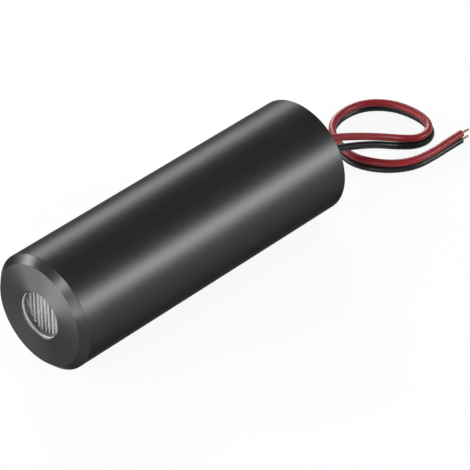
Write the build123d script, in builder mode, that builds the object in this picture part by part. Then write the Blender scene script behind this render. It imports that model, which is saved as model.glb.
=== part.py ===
from build123d import *
import os
from math import asin, degrees, radians, sqrt, tan

# Laser diode module: a turned black tube with a ribbed line lens behind its front aperture, a laser diode
# with a collimating lens in a brass barrel, a driver board in the rear bore and a pair of supply leads.
# Millimetres. The optical axis is Y, the beam leaves towards -Y, Z is up, and the origin is on the axis
# at the middle of the housing's length.

# Housing
housing_diameter = 20.0
housing_length = 59.0
front_chamfer = 1.2
rear_chamfer = 0.2
front_wall = 1.2
aperture_diameter = 8.0
aperture_chamfer = 0.15
rear_wall = 1.5

# Clearances, each on the radius or to one side
press_gap = 0.01
slide_gap = 0.05
lead_gap = 0.08

# Line lens and its gasket
lens_thickness = 2.5
lens_rim = 0.8
rib_margin = 0.2
rib_pitch = 0.8
rib_height = 0.16
gasket_thickness = 0.6

# Optics barrel
barrel_shoulder = 1.0
thread_runout = 0.3
seat_web = 0.8

# Collimator
cell_setback = 4.7
cell_length = 7.0
cell_wall = 1.25
cell_lip = 1.1
cell_slot_width = 1.0
cell_slot_depth = 0.8
collimator_diameter = 6.3
collimator_rim = 0.65
collimator_edge = 1.6
collimator_dome_height = 1.2
collimator_ring_thickness = 1.0
back_focus = 6.9
spring_wire = 0.45
spring_turns = 5
spring_inset = 0.15
spring_gap = 0.3

# Laser diode in its round metal package
stem_diameter = 5.6
stem_thickness = 1.2
emitter_height = 1.3
can_wall = 0.2
can_air = 0.65
can_flange_inset = 0.5
can_flange_width = 0.525
can_flange_gap = 0.2
can_opening = 1.8
window_gap = 0.175
window_thickness = 0.25
pin_diameter = 0.45
pin_circle_diameter = 2.0
pin_length = 6.5
pin_inner_length = 0.8
seal_diameter = 1.0
heat_sink_width = 1.4
heat_sink_height = 0.9
chip_width = 0.3
chip_length = 0.35
chip_height = 0.12
photodiode_side = 0.8
photodiode_height = 0.2

# Driver board
board_thickness = 0.8
board_corner = 0.5
board_edge_gap = 0.2
board_front_gap = 3.2
board_rear_gap = 4.2
sleeve_wall = 0.25
pin_solder_width = 1.1
pin_solder_length = 2.4
pin_solder_height = 0.7

# Rear cap, the bead that anchors the leads to it, and the leads
cap_thickness = 3.0
cap_recess = 0.3
cap_chamfer = 0.3
lead_spacing = 2.5
lead_hole_chamfer = 0.2
anchor_margin = 1.6
anchor_thickness = 2.0
anchor_rounding = 0.7
lead_diameter = 1.3
lead_inner_end = 0.7
conductor_diameter = 0.48
conductor_gap = 0.01
conductor_on_board = 3.0
bare_outer_length = 1.4
lead_solder_width = 1.8
lead_solder_cover = 0.1
lead_solder_front = 0.4
solder_taper = 20

# Radii that several pieces share
board_bore_radius = housing_diameter / 2 - rear_wall
sleeve_outer_radius = board_bore_radius - slide_gap
sleeve_inner_radius = sleeve_outer_radius - sleeve_wall
ribbed_radius = aperture_diameter / 2 + rib_margin
lens_radius = ribbed_radius + lens_rim
lens_pocket_radius = lens_radius + slide_gap
barrel_radius = lens_radius + barrel_shoulder
cell_bore_radius = collimator_diameter / 2 + slide_gap
cell_radius = cell_bore_radius + cell_wall
thread_radius = cell_radius + slide_gap
collimator_clear_radius = collimator_diameter / 2 - collimator_rim
stem_seat_radius = stem_diameter / 2 + press_gap
can_flange_radius = stem_diameter / 2 - can_flange_inset
can_radius = can_flange_radius - can_flange_width
can_clearance_radius = can_flange_radius + can_flange_gap
spring_inner_radius = can_clearance_radius + spring_inset
spring_bore_radius = spring_inner_radius + spring_wire + spring_gap
pin_offset = pin_circle_diameter / 2 / sqrt(2)

# Stations along the axis, from the front face to the rear face
front_y = -housing_length / 2
rear_y = housing_length / 2
lens_seat_y = front_y + front_wall
lens_back_y = lens_seat_y + lens_thickness
barrel_front_y = lens_back_y + gasket_thickness
cell_front_y = barrel_front_y + cell_setback
cell_rear_y = cell_front_y + cell_length
collimator_back_y = cell_rear_y - cell_lip
collimator_rim_y = collimator_back_y - collimator_edge
emitter_y = collimator_back_y + back_focus
stem_front_y = emitter_y + emitter_height
spring_seat_y = stem_front_y - seat_web
barrel_rear_y = stem_front_y + stem_thickness
cap_outer_y = rear_y - cap_recess
cap_inner_y = cap_outer_y - cap_thickness
board_front_y = barrel_rear_y + board_front_gap
board_rear_y = cap_inner_y - board_rear_gap
lead_start_y = cap_inner_y - anchor_thickness - lead_inner_end
conductor_start_y = board_rear_y - conductor_on_board
lead_solder_y = conductor_start_y - lead_solder_front


def ring_profile(inner_radius, outer_radius, start_y, end_y):
    """Corners of a plain ring's section, for turning about the axis."""
    return [(inner_radius, start_y), (outer_radius, start_y), (outer_radius, end_y), (inner_radius, end_y)]


def across_axis(y):
    """A plane across the optical axis that faces the front, with X to the right and Z up."""
    return Plane.XZ.offset(-y)


# Housing: one turned piece, stepped inside from the aperture to the board bore
with BuildPart() as housing:
    with BuildSketch(Plane.XY):
        with BuildLine():
            Polyline(
                (aperture_diameter / 2, front_y),
                (housing_diameter / 2, front_y),
                (housing_diameter / 2, rear_y),
                (board_bore_radius, rear_y),
                (board_bore_radius, barrel_rear_y),
                (barrel_radius + press_gap, barrel_rear_y),
                (barrel_radius + press_gap, barrel_front_y),
                (lens_pocket_radius, barrel_front_y),
                (lens_pocket_radius, lens_seat_y),
                (aperture_diameter / 2, lens_seat_y),
                close=True,
            )
        make_face()
    revolve(axis=Axis.Y)
    front_edges = housing.edges().group_by(Axis.Y)[0].sort_by(SortBy.RADIUS)
    chamfer(front_edges[0], aperture_chamfer)
    front_edges = housing.edges().group_by(Axis.Y)[0].sort_by(SortBy.RADIUS)
    chamfer(front_edges[-1], front_chamfer)
    rear_edges = housing.edges().group_by(Axis.Y)[-1]
    chamfer(rear_edges, rear_chamfer)

# Ribs of the line lens: a row of upright cylindrical lenses, trimmed to a round field
rib_root_y = lens_seat_y + rib_height
rib_count = int(2 * ribbed_radius / rib_pitch) + 1
with BuildPart() as lens_ribs:
    with BuildSketch(Plane.XY.offset(-ribbed_radius)):
        for i in range(rib_count):
            left = (i - rib_count / 2) * rib_pitch
            with BuildLine():
                crest = ThreePointArc(
                    (left, rib_root_y), (left + rib_pitch / 2, lens_seat_y), (left + rib_pitch, rib_root_y)
                )
                Line(crest @ 1, crest @ 0)
            make_face()
        with Locations((0, rib_root_y + rib_height / 2)):
            Rectangle(rib_count * rib_pitch, rib_height)
    extrude(amount=2 * ribbed_radius)
    with BuildSketch(across_axis(lens_seat_y)):
        Circle(ribbed_radius)
    extrude(amount=-2 * rib_height, mode=Mode.INTERSECT)

# Line lens: a clear disc with a flat seating rim round the ribs
with BuildPart() as line_lens:
    with BuildSketch(Plane.XY):
        with BuildLine():
            Polyline(
                (0, lens_back_y),
                (lens_radius, lens_back_y),
                (lens_radius, lens_seat_y),
                (ribbed_radius, lens_seat_y),
                (ribbed_radius, rib_root_y),
                (0, rib_root_y),
                close=True,
            )
        make_face()
    revolve(axis=Axis.Y)
    add(lens_ribs.part)

# Gasket that the barrel presses against the back of the line lens
with BuildPart() as lens_gasket:
    with BuildSketch(Plane.XY):
        with BuildLine():
            Polyline(*ring_profile(ribbed_radius, lens_radius, lens_back_y, barrel_front_y), close=True)
        make_face()
    revolve(axis=Axis.Y)

# Optics barrel: bored for the collimator cell, its spring, and the laser diode's stem
with BuildPart() as optics_barrel:
    with BuildSketch(Plane.XY):
        with BuildLine():
            Polyline(
                (thread_radius, barrel_front_y),
                (barrel_radius, barrel_front_y),
                (barrel_radius, barrel_rear_y),
                (stem_seat_radius, barrel_rear_y),
                (stem_seat_radius, stem_front_y),
                (can_clearance_radius, stem_front_y),
                (can_clearance_radius, spring_seat_y),
                (spring_bore_radius, spring_seat_y),
                (spring_bore_radius, cell_rear_y + thread_runout),
                (thread_radius, cell_rear_y + thread_runout),
                close=True,
            )
        make_face()
    revolve(axis=Axis.Y)

# Collimator cell: screws into the barrel, with a slot across its front for the setting tool
with BuildPart() as collimator_cell:
    with BuildSketch(Plane.XY):
        with BuildLine():
            Polyline(
                (cell_bore_radius, cell_front_y),
                (cell_radius, cell_front_y),
                (cell_radius, cell_rear_y),
                (collimator_clear_radius, cell_rear_y),
                (collimator_clear_radius, collimator_back_y),
                (cell_bore_radius, collimator_back_y),
                close=True,
            )
        make_face()
    revolve(axis=Axis.Y)
    with BuildSketch(across_axis(cell_front_y)):
        Rectangle(2 * thread_radius, cell_slot_width)
    extrude(amount=-cell_slot_depth, mode=Mode.SUBTRACT)

# Collimator lens: flat towards the diode, domed towards the front, with a flat seating rim
dome_radius = (collimator_clear_radius**2 + collimator_dome_height**2) / (2 * collimator_dome_height)
dome_angle = degrees(asin(collimator_clear_radius / dome_radius))
dome_tip_y = collimator_rim_y - collimator_dome_height
with BuildPart() as collimator_lens:
    with BuildSketch(Plane.XY):
        with BuildLine():
            dome = CenterArc((0, dome_tip_y + dome_radius), dome_radius, -90, dome_angle)
            Polyline(
                dome @ 1,
                (collimator_diameter / 2, collimator_rim_y),
                (collimator_diameter / 2, collimator_back_y),
                (0, collimator_back_y),
                dome @ 0,
            )
        make_face()
    revolve(axis=Axis.Y)

# Ring that holds the collimator lens in its cell
with BuildPart() as collimator_ring:
    with BuildSketch(Plane.XY):
        with BuildLine():
            ring_front_y = collimator_rim_y - collimator_ring_thickness
            ring_inner = collimator_clear_radius + slide_gap
            ring_outer = cell_bore_radius - press_gap
            Polyline(*ring_profile(ring_inner, ring_outer, ring_front_y, collimator_rim_y), close=True)
        make_face()
    revolve(axis=Axis.Y)

# Spring that keeps the cell's thread free of play
spring_start_y = cell_rear_y + spring_wire / 2
spring_height = spring_seat_y - cell_rear_y - spring_wire
with BuildPart() as focus_spring:
    with BuildLine() as coil:
        Helix(
            pitch=spring_height / spring_turns,
            height=spring_height,
            radius=spring_inner_radius + spring_wire / 2,
            center=(0, spring_start_y, 0),
            direction=(0, 1, 0),
        )
    with BuildSketch(Plane(origin=coil.line @ 0, z_dir=coil.line % 0)):
        Circle(spring_wire / 2)
    sweep(is_frenet=True)

# Laser diode: stem, with two holes for the insulated pins
insulated_pins = [(-pin_offset, pin_offset), (pin_offset, pin_offset)]
case_pin = [(pin_offset, -pin_offset)]
with BuildPart() as diode_stem:
    with BuildSketch(across_axis(stem_front_y)):
        Circle(stem_diameter / 2)
        with Locations(*insulated_pins):
            Circle(seal_diameter / 2, mode=Mode.SUBTRACT)
    extrude(amount=-stem_thickness)

# Glass seals that insulate two of the pins
with BuildPart() as pin_glass_seals:
    with BuildSketch(across_axis(stem_front_y)):
        with Locations(*insulated_pins):
            Circle(seal_diameter / 2)
            Circle(pin_diameter / 2, mode=Mode.SUBTRACT)
    extrude(amount=-stem_thickness)

# Pins: two pass through the stem, and the third is welded to its back
with BuildPart() as diode_pins:
    with BuildSketch(across_axis(stem_front_y - pin_inner_length)):
        with Locations(*insulated_pins):
            Circle(pin_diameter / 2)
    extrude(amount=-(pin_inner_length + stem_thickness + pin_length))
    with BuildSketch(across_axis(barrel_rear_y)):
        with Locations(*case_pin):
            Circle(pin_diameter / 2)
    extrude(amount=-pin_length)

# Can over the laser chip, open at its front, with a welding flange
window_back_y = emitter_y - can_air
window_front_y = window_back_y - window_thickness
can_top_y = window_front_y - can_wall
with BuildPart() as diode_cap:
    with BuildSketch(Plane.XY):
        with BuildLine():
            Polyline(
                (can_opening / 2, can_top_y),
                (can_radius, can_top_y),
                (can_radius, stem_front_y - can_wall),
                (can_flange_radius, stem_front_y - can_wall),
                (can_flange_radius, stem_front_y),
                (can_radius - can_wall, stem_front_y),
                (can_radius - can_wall, window_front_y),
                (can_opening / 2, window_front_y),
                close=True,
            )
        make_face()
    revolve(axis=Axis.Y)

# Window glass, bonded inside the can's front
with BuildPart() as diode_window:
    with BuildSketch(across_axis(window_front_y)):
        Circle(can_radius - can_wall - window_gap)
    extrude(amount=-window_thickness)

# Copper block that carries the laser chip, its top one chip's half height below the axis
with BuildPart() as diode_heat_sink:
    with BuildSketch(across_axis(emitter_y)):
        with Locations((0, -(chip_height + heat_sink_height) / 2)):
            Rectangle(heat_sink_width, heat_sink_height)
    extrude(amount=-emitter_height)

# Laser chip, its front facet on the axis
with BuildPart() as laser_chip:
    with BuildSketch(across_axis(emitter_y)):
        Rectangle(chip_width, chip_height)
    extrude(amount=-chip_length)

# Photodiode on the stem that watches the chip's rear facet
with BuildPart() as monitor_photodiode:
    with BuildSketch(across_axis(stem_front_y)):
        with Locations((0, photodiode_side / 2)):
            Rectangle(photodiode_side, photodiode_side)
    extrude(amount=photodiode_height)

# Driver board, lying along the axis between the diode's pins and between the leads
board_top = board_thickness / 2
board_width = 2 * (sqrt(sleeve_inner_radius**2 - board_top**2) - board_edge_gap)
with BuildPart() as driver_board:
    with BuildSketch(Plane.XY.offset(-board_top)):
        with Locations((0, (board_front_y + board_rear_y) / 2)):
            RectangleRounded(board_width, board_rear_y - board_front_y, board_corner)
    extrude(amount=board_thickness)

# Components on the board's upper side. The driver chip lies midway between the two soldered joints, the
# others in a row along each long edge of the board, each at a distance behind the chip's centre.
chip_centre_y = (board_front_y + pin_solder_length + lead_solder_y) / 2
driver_chip_size = (3.9, 4.9, 1.5)
driver_chip_standoff = 0.15
driver_legs_a_side = 4
driver_leg_pitch = 1.27
driver_leg_width = 0.42
driver_leg_thickness = 0.2
driver_leg_reach = 1.05
driver_leg_foot = 0.6
component_edge_gap = 1.0
resistor_size = (2.0, 1.25, 0.5)
resistor_stations = [-2.5, 0.0, 2.5]
capacitor_size = (2.0, 1.25, 1.0)
capacitor_stations = [-2.5, 0.0]
tantalum_size = (3.5, 2.8, 1.9)
tantalum_station = 4.1
polarity_diode_size = (2.8, 1.8, 1.1)
polarity_diode_station = 5.5
terminal_length = 0.4
terminal_film = 0.1


def along_edge(side, size, stations):
    """Centres of components of one size in a row along the board's left (-1) or right (1) edge."""
    x = side * (board_width / 2 - component_edge_gap - size[0] / 2)
    return [(x, chip_centre_y + station) for station in stations]


resistor_places = along_edge(-1, resistor_size, resistor_stations)
polarity_diode_places = along_edge(-1, polarity_diode_size, [polarity_diode_station])
capacitor_places = along_edge(1, capacitor_size, capacitor_stations)
tantalum_places = along_edge(1, tantalum_size, [tantalum_station])

with BuildPart() as driver_chip:
    with BuildSketch(Plane.XY.offset(board_top + driver_chip_standoff)):
        with Locations((0, chip_centre_y)):
            Rectangle(driver_chip_size[0], driver_chip_size[1])
    extrude(amount=driver_chip_size[2])
    chamfer(driver_chip.faces().sort_by(Axis.Z)[-1].edges(), driver_chip_standoff)

# Gull-wing legs of the driver chip, in a row on each side
leg_exit_z = board_top + driver_chip_standoff + driver_chip_size[2] / 2
leg_section = [
    (0, leg_exit_z),
    (driver_leg_reach - driver_leg_foot, leg_exit_z),
    (driver_leg_reach - driver_leg_foot, board_top),
    (driver_leg_reach, board_top),
    (driver_leg_reach, board_top + driver_leg_thickness),
    (driver_leg_reach - driver_leg_foot + driver_leg_thickness, board_top + driver_leg_thickness),
    (driver_leg_reach - driver_leg_foot + driver_leg_thickness, leg_exit_z + driver_leg_thickness),
    (0, leg_exit_z + driver_leg_thickness),
]
chip_side_x = driver_chip_size[0] / 2
with BuildPart() as driver_chip_legs:
    for row in range(driver_legs_a_side):
        leg_y = chip_centre_y + (row - (driver_legs_a_side - 1) / 2) * driver_leg_pitch
        with BuildSketch(across_axis(leg_y - driver_leg_width / 2)):
            with BuildLine():
                Polyline(*[(chip_side_x + x, z) for x, z in leg_section], close=True)
            make_face()
        extrude(amount=-driver_leg_width)
    mirror(about=Plane.YZ)

with BuildPart() as chip_resistors:
    with BuildSketch(Plane.XY.offset(board_top)):
        with Locations(*resistor_places):
            Rectangle(resistor_size[0] - 2 * terminal_length, resistor_size[1])
    extrude(amount=resistor_size[2])

with BuildPart() as ceramic_capacitors:
    with BuildSketch(Plane.XY.offset(board_top)):
        with Locations(*capacitor_places):
            Rectangle(capacitor_size[0] - 2 * terminal_length, capacitor_size[1])
    extrude(amount=capacitor_size[2])

with BuildPart() as tantalum_capacitor:
    with BuildSketch(Plane.XY.offset(board_top)):
        with Locations(*tantalum_places):
            Rectangle(tantalum_size[0] - 2 * terminal_film, tantalum_size[1])
    extrude(amount=tantalum_size[2])

with BuildPart() as polarity_diode:
    with BuildSketch(Plane.XY.offset(board_top)):
        with Locations(*polarity_diode_places):
            Rectangle(polarity_diode_size[0] - 2 * terminal_film, polarity_diode_size[1])
    extrude(amount=polarity_diode_size[2])

# Tinned ends of the resistors, capacitors and diode
terminal_sets = [
    (resistor_places, resistor_size, terminal_length),
    (capacitor_places, capacitor_size, terminal_length),
    (tantalum_places, tantalum_size, terminal_film),
    (polarity_diode_places, polarity_diode_size, terminal_film),
]
with BuildPart() as component_terminals:
    for places, size, length in terminal_sets:
        ends = [(x + side * (size[0] - length) / 2, y) for x, y in places for side in (-1, 1)]
        with BuildSketch(Plane.XY.offset(board_top)):
            with Locations(*ends):
                Rectangle(length, size[1])
        extrude(amount=size[2])

# Solder that joins the diode's pins to the board, two on its upper side and one below
pin_solder_y = board_front_y + pin_solder_length / 2
with BuildPart() as pin_solder:
    with BuildSketch(Plane.XY.offset(board_top)):
        with Locations(*[(x, pin_solder_y) for x, z in insulated_pins]):
            Rectangle(pin_solder_width, pin_solder_length)
    extrude(amount=pin_solder_height, taper=solder_taper)
    with BuildSketch(Plane.XY.offset(-board_top)):
        with Locations(*[(x, pin_solder_y) for x, z in case_pin]):
            Rectangle(pin_solder_width, pin_solder_length)
    extrude(amount=-pin_solder_height, taper=solder_taper)
    with BuildSketch(across_axis(barrel_rear_y)):
        with Locations(*insulated_pins, *case_pin):
            Circle(pin_diameter / 2)
    extrude(amount=-pin_length, mode=Mode.SUBTRACT)

# Insulating sleeve that lines the bore round the board
with BuildPart() as board_sleeve:
    with BuildSketch(Plane.XY):
        with BuildLine():
            Polyline(
                *ring_profile(sleeve_inner_radius, sleeve_outer_radius, barrel_rear_y, cap_inner_y),
                close=True,
            )
        make_face()
    revolve(axis=Axis.Y)

# Rear cap with a hole for each lead, one above the other
lead_holes = [(0, lead_spacing / 2), (0, -lead_spacing / 2)]
lead_hole_radius = lead_diameter / 2 + lead_gap
with BuildPart() as rear_cap:
    with BuildSketch(across_axis(cap_inner_y)):
        Circle(board_bore_radius - press_gap)
        with Locations(*lead_holes):
            Circle(lead_hole_radius, mode=Mode.SUBTRACT)
    extrude(amount=-cap_thickness)
    outer_edges = rear_cap.faces().sort_by(Axis.Y)[-1].edges().sort_by(SortBy.RADIUS)
    chamfer(outer_edges[-1], cap_chamfer)
    outer_edges = rear_cap.faces().sort_by(Axis.Y)[-1].edges().sort_by(SortBy.RADIUS)
    chamfer(outer_edges[:-1], lead_hole_chamfer)

# Bead of adhesive inside the cap that anchors both leads
with BuildPart() as lead_anchor:
    with BuildSketch(across_axis(cap_inner_y)):
        Circle((lead_spacing + lead_diameter) / 2 + anchor_margin)
    extrude(amount=anchor_thickness)
    fillet(lead_anchor.faces().sort_by(Axis.Y)[0].edges(), anchor_rounding)
    with BuildSketch(across_axis(cap_inner_y)):
        with Locations(*lead_holes):
            Circle(lead_diameter / 2)
    extrude(amount=anchor_thickness, mode=Mode.SUBTRACT)

# Leads. They leave the cap one above the other, come together as they sink to the surface that the
# housing lies on, make one loose loop there and end side by side with stripped, tinned ends.
# Each point is (x, distance behind the rear face, height above the axis).
on_floor = -housing_diameter / 2 + lead_diameter / 2
on_other_lead = on_floor + lead_diameter + slide_gap
exit_high = lead_spacing / 2
inner_end = lead_start_y - rear_y
red_points = [
    (0.0, inner_end, exit_high),
    (0.0, -1.0, exit_high),
    (0.0, 4.0, 1.0),
    (0.0, 9.0, -1.0),
    (0.0, 13.9, -3.3),
    (0.2, 19.1, -5.9),
    (1.5, 23.4, -7.8),
    (3.5, 25.6, on_other_lead),
    (3.7, 28.4, on_other_lead),
    (1.6, 30.8, on_other_lead),
    (-2.3, 31.5, on_other_lead),
    (-6.9, 30.6, on_other_lead),
    (-10.2, 27.6, on_other_lead),
    (-11.2, 23.5, on_other_lead),
    (-10.4, 19.5, on_other_lead),
    (-8.2, 16.8, on_other_lead),
    (-5.0, 15.2, on_other_lead),
    (-1.6, 14.0, on_other_lead),
    (2.1, 14.9, on_other_lead),
    (5.5, 17.2, on_other_lead),
    (7.7, 20.6, on_other_lead),
    (8.4, 24.8, on_other_lead),
    (8.3, 29.4, on_other_lead),
    (8.2, 32.4, on_other_lead),
]
black_points = [
    (0.0, inner_end, -exit_high),
    (0.0, -1.0, -exit_high),
    (0.0, 3.8, -1.45),
    (0.0, 8.7, -3.15),
    (0.0, 13.7, -5.1),
    (0.2, 18.8, -7.35),
    (1.2, 22.6, -9.1),
    (3.5, 25.3, on_floor),
    (4.0, 28.5, on_floor),
    (1.8, 31.3, on_floor),
    (-2.4, 32.1, on_floor),
    (-7.1, 31.2, on_floor),
    (-10.6, 27.9, on_floor),
    (-11.5, 23.5, on_floor),
    (-10.5, 19.4, on_floor),
    (-8.2, 16.8, on_floor),
    (-5.0, 15.2, on_floor),
    (-1.6, 14.0, on_floor),
    (2.1, 14.9, on_floor),
    (5.3, 17.3, on_floor),
    (7.4, 20.7, on_floor),
    (7.8, 24.8, on_floor),
    (7.8, 29.4, on_floor),
    (7.9, 32.4, on_floor),
]


arc_share = 0.45


def lead_route(points):
    """A lead's route as vectors in the part's frame."""
    return [Vector(x, rear_y + y, z) for x, y, z in points]


def corner_radii(route):
    """The radius at each inner point that takes up the same share of the shorter run beside it."""
    radii = []
    for before, corner, after in zip(route, route[1:], route[2:]):
        turn = (corner - before).get_angle(after - corner)
        shorter = min((corner - before).length, (after - corner).length)
        radii.append(arc_share * shorter / tan(radians(turn) / 2))
    return radii


def conductor_route(route):
    """The same route, carried on past both ends of the insulation."""
    start = Vector(route[0].X, conductor_start_y, route[0].Z)
    end = route[-1] + (route[-1] - route[-2]).normalized() * bare_outer_length
    return [start, *route[1:-1], end]


red_route = lead_route(red_points)
red_radii = corner_radii(red_route)
black_route = lead_route(black_points)
black_radii = corner_radii(black_route)

with BuildPart() as red_lead:
    with BuildLine() as red_path:
        FilletPolyline(*red_route, radius=red_radii)
    with BuildSketch(Plane(origin=red_path.line @ 0, z_dir=red_path.line % 0)):
        Circle(lead_diameter / 2)
        Circle(conductor_diameter / 2 + conductor_gap, mode=Mode.SUBTRACT)
    sweep()

with BuildPart() as black_lead:
    with BuildLine() as black_path:
        FilletPolyline(*black_route, radius=black_radii)
    with BuildSketch(Plane(origin=black_path.line @ 0, z_dir=black_path.line % 0)):
        Circle(lead_diameter / 2)
        Circle(conductor_diameter / 2 + conductor_gap, mode=Mode.SUBTRACT)
    sweep()

with BuildPart() as red_conductor:
    with BuildLine() as red_core_path:
        FilletPolyline(*conductor_route(red_route), radius=red_radii)
    with BuildSketch(Plane(origin=red_core_path.line @ 0, z_dir=red_core_path.line % 0)):
        Circle(conductor_diameter / 2)
    sweep()

with BuildPart() as black_conductor:
    with BuildLine() as black_core_path:
        FilletPolyline(*conductor_route(black_route), radius=black_radii)
    with BuildSketch(Plane(origin=black_core_path.line @ 0, z_dir=black_core_path.line % 0)):
        Circle(conductor_diameter / 2)
    sweep()

# Solder that joins each conductor to its side of the board
lead_solder_length = board_rear_y - lead_solder_y
lead_solder_height = exit_high + conductor_diameter / 2 + lead_solder_cover - board_top
with BuildPart() as lead_solder:
    with BuildSketch(Plane.XY.offset(board_top)):
        with Locations((0, board_rear_y - lead_solder_length / 2)):
            Rectangle(lead_solder_width, lead_solder_length)
    extrude(amount=lead_solder_height, taper=solder_taper)
    mirror(about=Plane.XY)
    with BuildSketch(across_axis(conductor_start_y)):
        with Locations(*lead_holes):
            Circle(conductor_diameter / 2)
    extrude(amount=-lead_solder_length, mode=Mode.SUBTRACT)

pieces = {
    "housing": housing,
    "line_lens": line_lens,
    "lens_gasket": lens_gasket,
    "optics_barrel": optics_barrel,
    "collimator_cell": collimator_cell,
    "collimator_lens": collimator_lens,
    "collimator_ring": collimator_ring,
    "focus_spring": focus_spring,
    "diode_stem": diode_stem,
    "pin_glass_seals": pin_glass_seals,
    "diode_pins": diode_pins,
    "diode_cap": diode_cap,
    "diode_window": diode_window,
    "diode_heat_sink": diode_heat_sink,
    "laser_chip": laser_chip,
    "monitor_photodiode": monitor_photodiode,
    "driver_board": driver_board,
    "driver_chip": driver_chip,
    "driver_chip_legs": driver_chip_legs,
    "chip_resistors": chip_resistors,
    "ceramic_capacitors": ceramic_capacitors,
    "tantalum_capacitor": tantalum_capacitor,
    "polarity_diode": polarity_diode,
    "component_terminals": component_terminals,
    "pin_solder": pin_solder,
    "lead_solder": lead_solder,
    "board_sleeve": board_sleeve,
    "rear_cap": rear_cap,
    "lead_anchor": lead_anchor,
    "red_lead": red_lead,
    "black_lead": black_lead,
    "red_conductor": red_conductor,
    "black_conductor": black_conductor,
}
os.makedirs("parts", exist_ok=True)
for name, piece in pieces.items():
    piece.part.label = name
    export_step(piece.part, f"parts/{name}.step")

for name, path, radii, tube in (
    ("red", red_path, red_radii, red_lead),
    ("black", black_path, black_radii, black_lead),
):
    length = sum(edge.length for edge in path.edges())
    section = tube.faces().sort_by_distance(path.line @ 0)[0].area
    print(name, "lead radii", [round(radius, 1) for radius in radii])
    print(name, "lead length", round(length, 2), "and volume", round(tube.part.volume, 3))
    print(name, "section times length", round(section * length, 3))
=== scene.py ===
# %% [markdown]
# # A laser diode module on a white floor
#
# The object is a turned black tube, 20 mm across and 59 mm long. A clear lens with upright ribs sits
# behind the hole in its front face and spreads the beam into a line. Two thin supply leads come out of the
# back, sink to the floor, make one loose loop and end in bare tinned tips.
#
# The engineering model comes first, as a fixed frame. It holds every piece at its real size. Blender then
# gives each surface that shows a smoother mesh and a finish, and lights the whole like a product picture.

# %% Load the engineering model
from math import cos, pi, radians, sin, sqrt, tan

import bmesh
import bpy
from mathutils import Matrix, Vector


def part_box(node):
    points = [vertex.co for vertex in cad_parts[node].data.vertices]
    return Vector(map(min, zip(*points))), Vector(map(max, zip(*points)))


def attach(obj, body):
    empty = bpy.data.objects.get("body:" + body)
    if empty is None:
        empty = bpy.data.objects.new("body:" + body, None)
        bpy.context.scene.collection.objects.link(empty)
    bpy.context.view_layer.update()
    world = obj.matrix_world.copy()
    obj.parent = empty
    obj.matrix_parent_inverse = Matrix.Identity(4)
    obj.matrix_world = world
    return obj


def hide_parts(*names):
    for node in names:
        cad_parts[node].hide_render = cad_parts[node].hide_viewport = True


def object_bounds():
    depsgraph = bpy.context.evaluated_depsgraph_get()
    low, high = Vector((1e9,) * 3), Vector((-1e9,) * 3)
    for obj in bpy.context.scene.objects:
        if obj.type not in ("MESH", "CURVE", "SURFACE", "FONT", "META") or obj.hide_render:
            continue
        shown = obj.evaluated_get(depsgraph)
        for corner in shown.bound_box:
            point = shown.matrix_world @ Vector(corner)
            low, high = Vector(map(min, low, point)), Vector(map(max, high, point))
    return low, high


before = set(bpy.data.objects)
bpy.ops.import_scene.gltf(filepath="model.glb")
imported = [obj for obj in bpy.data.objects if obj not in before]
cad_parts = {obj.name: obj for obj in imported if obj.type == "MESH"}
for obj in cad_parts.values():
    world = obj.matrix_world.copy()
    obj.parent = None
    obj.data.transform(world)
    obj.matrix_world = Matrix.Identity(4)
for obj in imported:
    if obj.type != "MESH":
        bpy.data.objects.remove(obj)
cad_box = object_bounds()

mm = 0.001
scene = bpy.context.scene
scene.view_settings.view_transform = "Standard"
cad_sides = [round(side / mm, 1) for side in cad_box[1] - cad_box[0]]
print("loaded", len(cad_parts), "nodes, in a box of", cad_sides, "mm")

# %% [markdown]
# ## The camera
#
# A product picture like this one is taken from far away with a long lens, so that the tube's two sides
# stay almost parallel. The lens could be written in millimetres straight away. Here it is the number of
# pixels that one unit of slope covers in a picture of 470 pixels, because that can be measured in a
# picture. It is then turned into millimetres on a 36 mm sensor, which is what Blender wants.

# %% Place the camera
picture_width = 470
slope_pixels = 2998.4
sensor_width = 36.0
view_azimuth = radians(43.815)
view_elevation = radians(36.837)
view_distance = 476.0 * mm
view_aim = Vector((7.44, 6.11, 0.0)) * mm

towards_camera = Vector((
    sin(view_azimuth) * cos(view_elevation),
    -cos(view_azimuth) * cos(view_elevation),
    sin(view_elevation),
))
camera = bpy.data.objects.new("camera", bpy.data.cameras.new("camera"))
camera.data.sensor_width = sensor_width
camera.data.lens = sensor_width * slope_pixels / picture_width
camera.data.clip_start = 10 * mm
camera.location = view_aim + towards_camera * view_distance
camera.rotation_euler = (-towards_camera).to_track_quat("-Z", "Y").to_euler()
scene.collection.objects.link(camera)
scene.camera = camera
print("camera lens", round(camera.data.lens, 1), "mm, at", [round(c / mm) for c in camera.location], "mm")

# %% [markdown]
# ## The routes of the two leads
#
# A lead is a limp thing of fixed length, so its shape is a route. It could be modelled as a mesh tube,
# point by point, but a spline needs far fewer points and stays smooth. Each row below is a control point:
# the offset to the right, the distance behind the tube's rear face and the height above its axis, in
# millimetres. The leads come out one above the other, lean together as they sink, and then lie on the
# floor with the red one on top. A spline of order 3 cuts gently inside these points, as a soft wire does.

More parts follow.
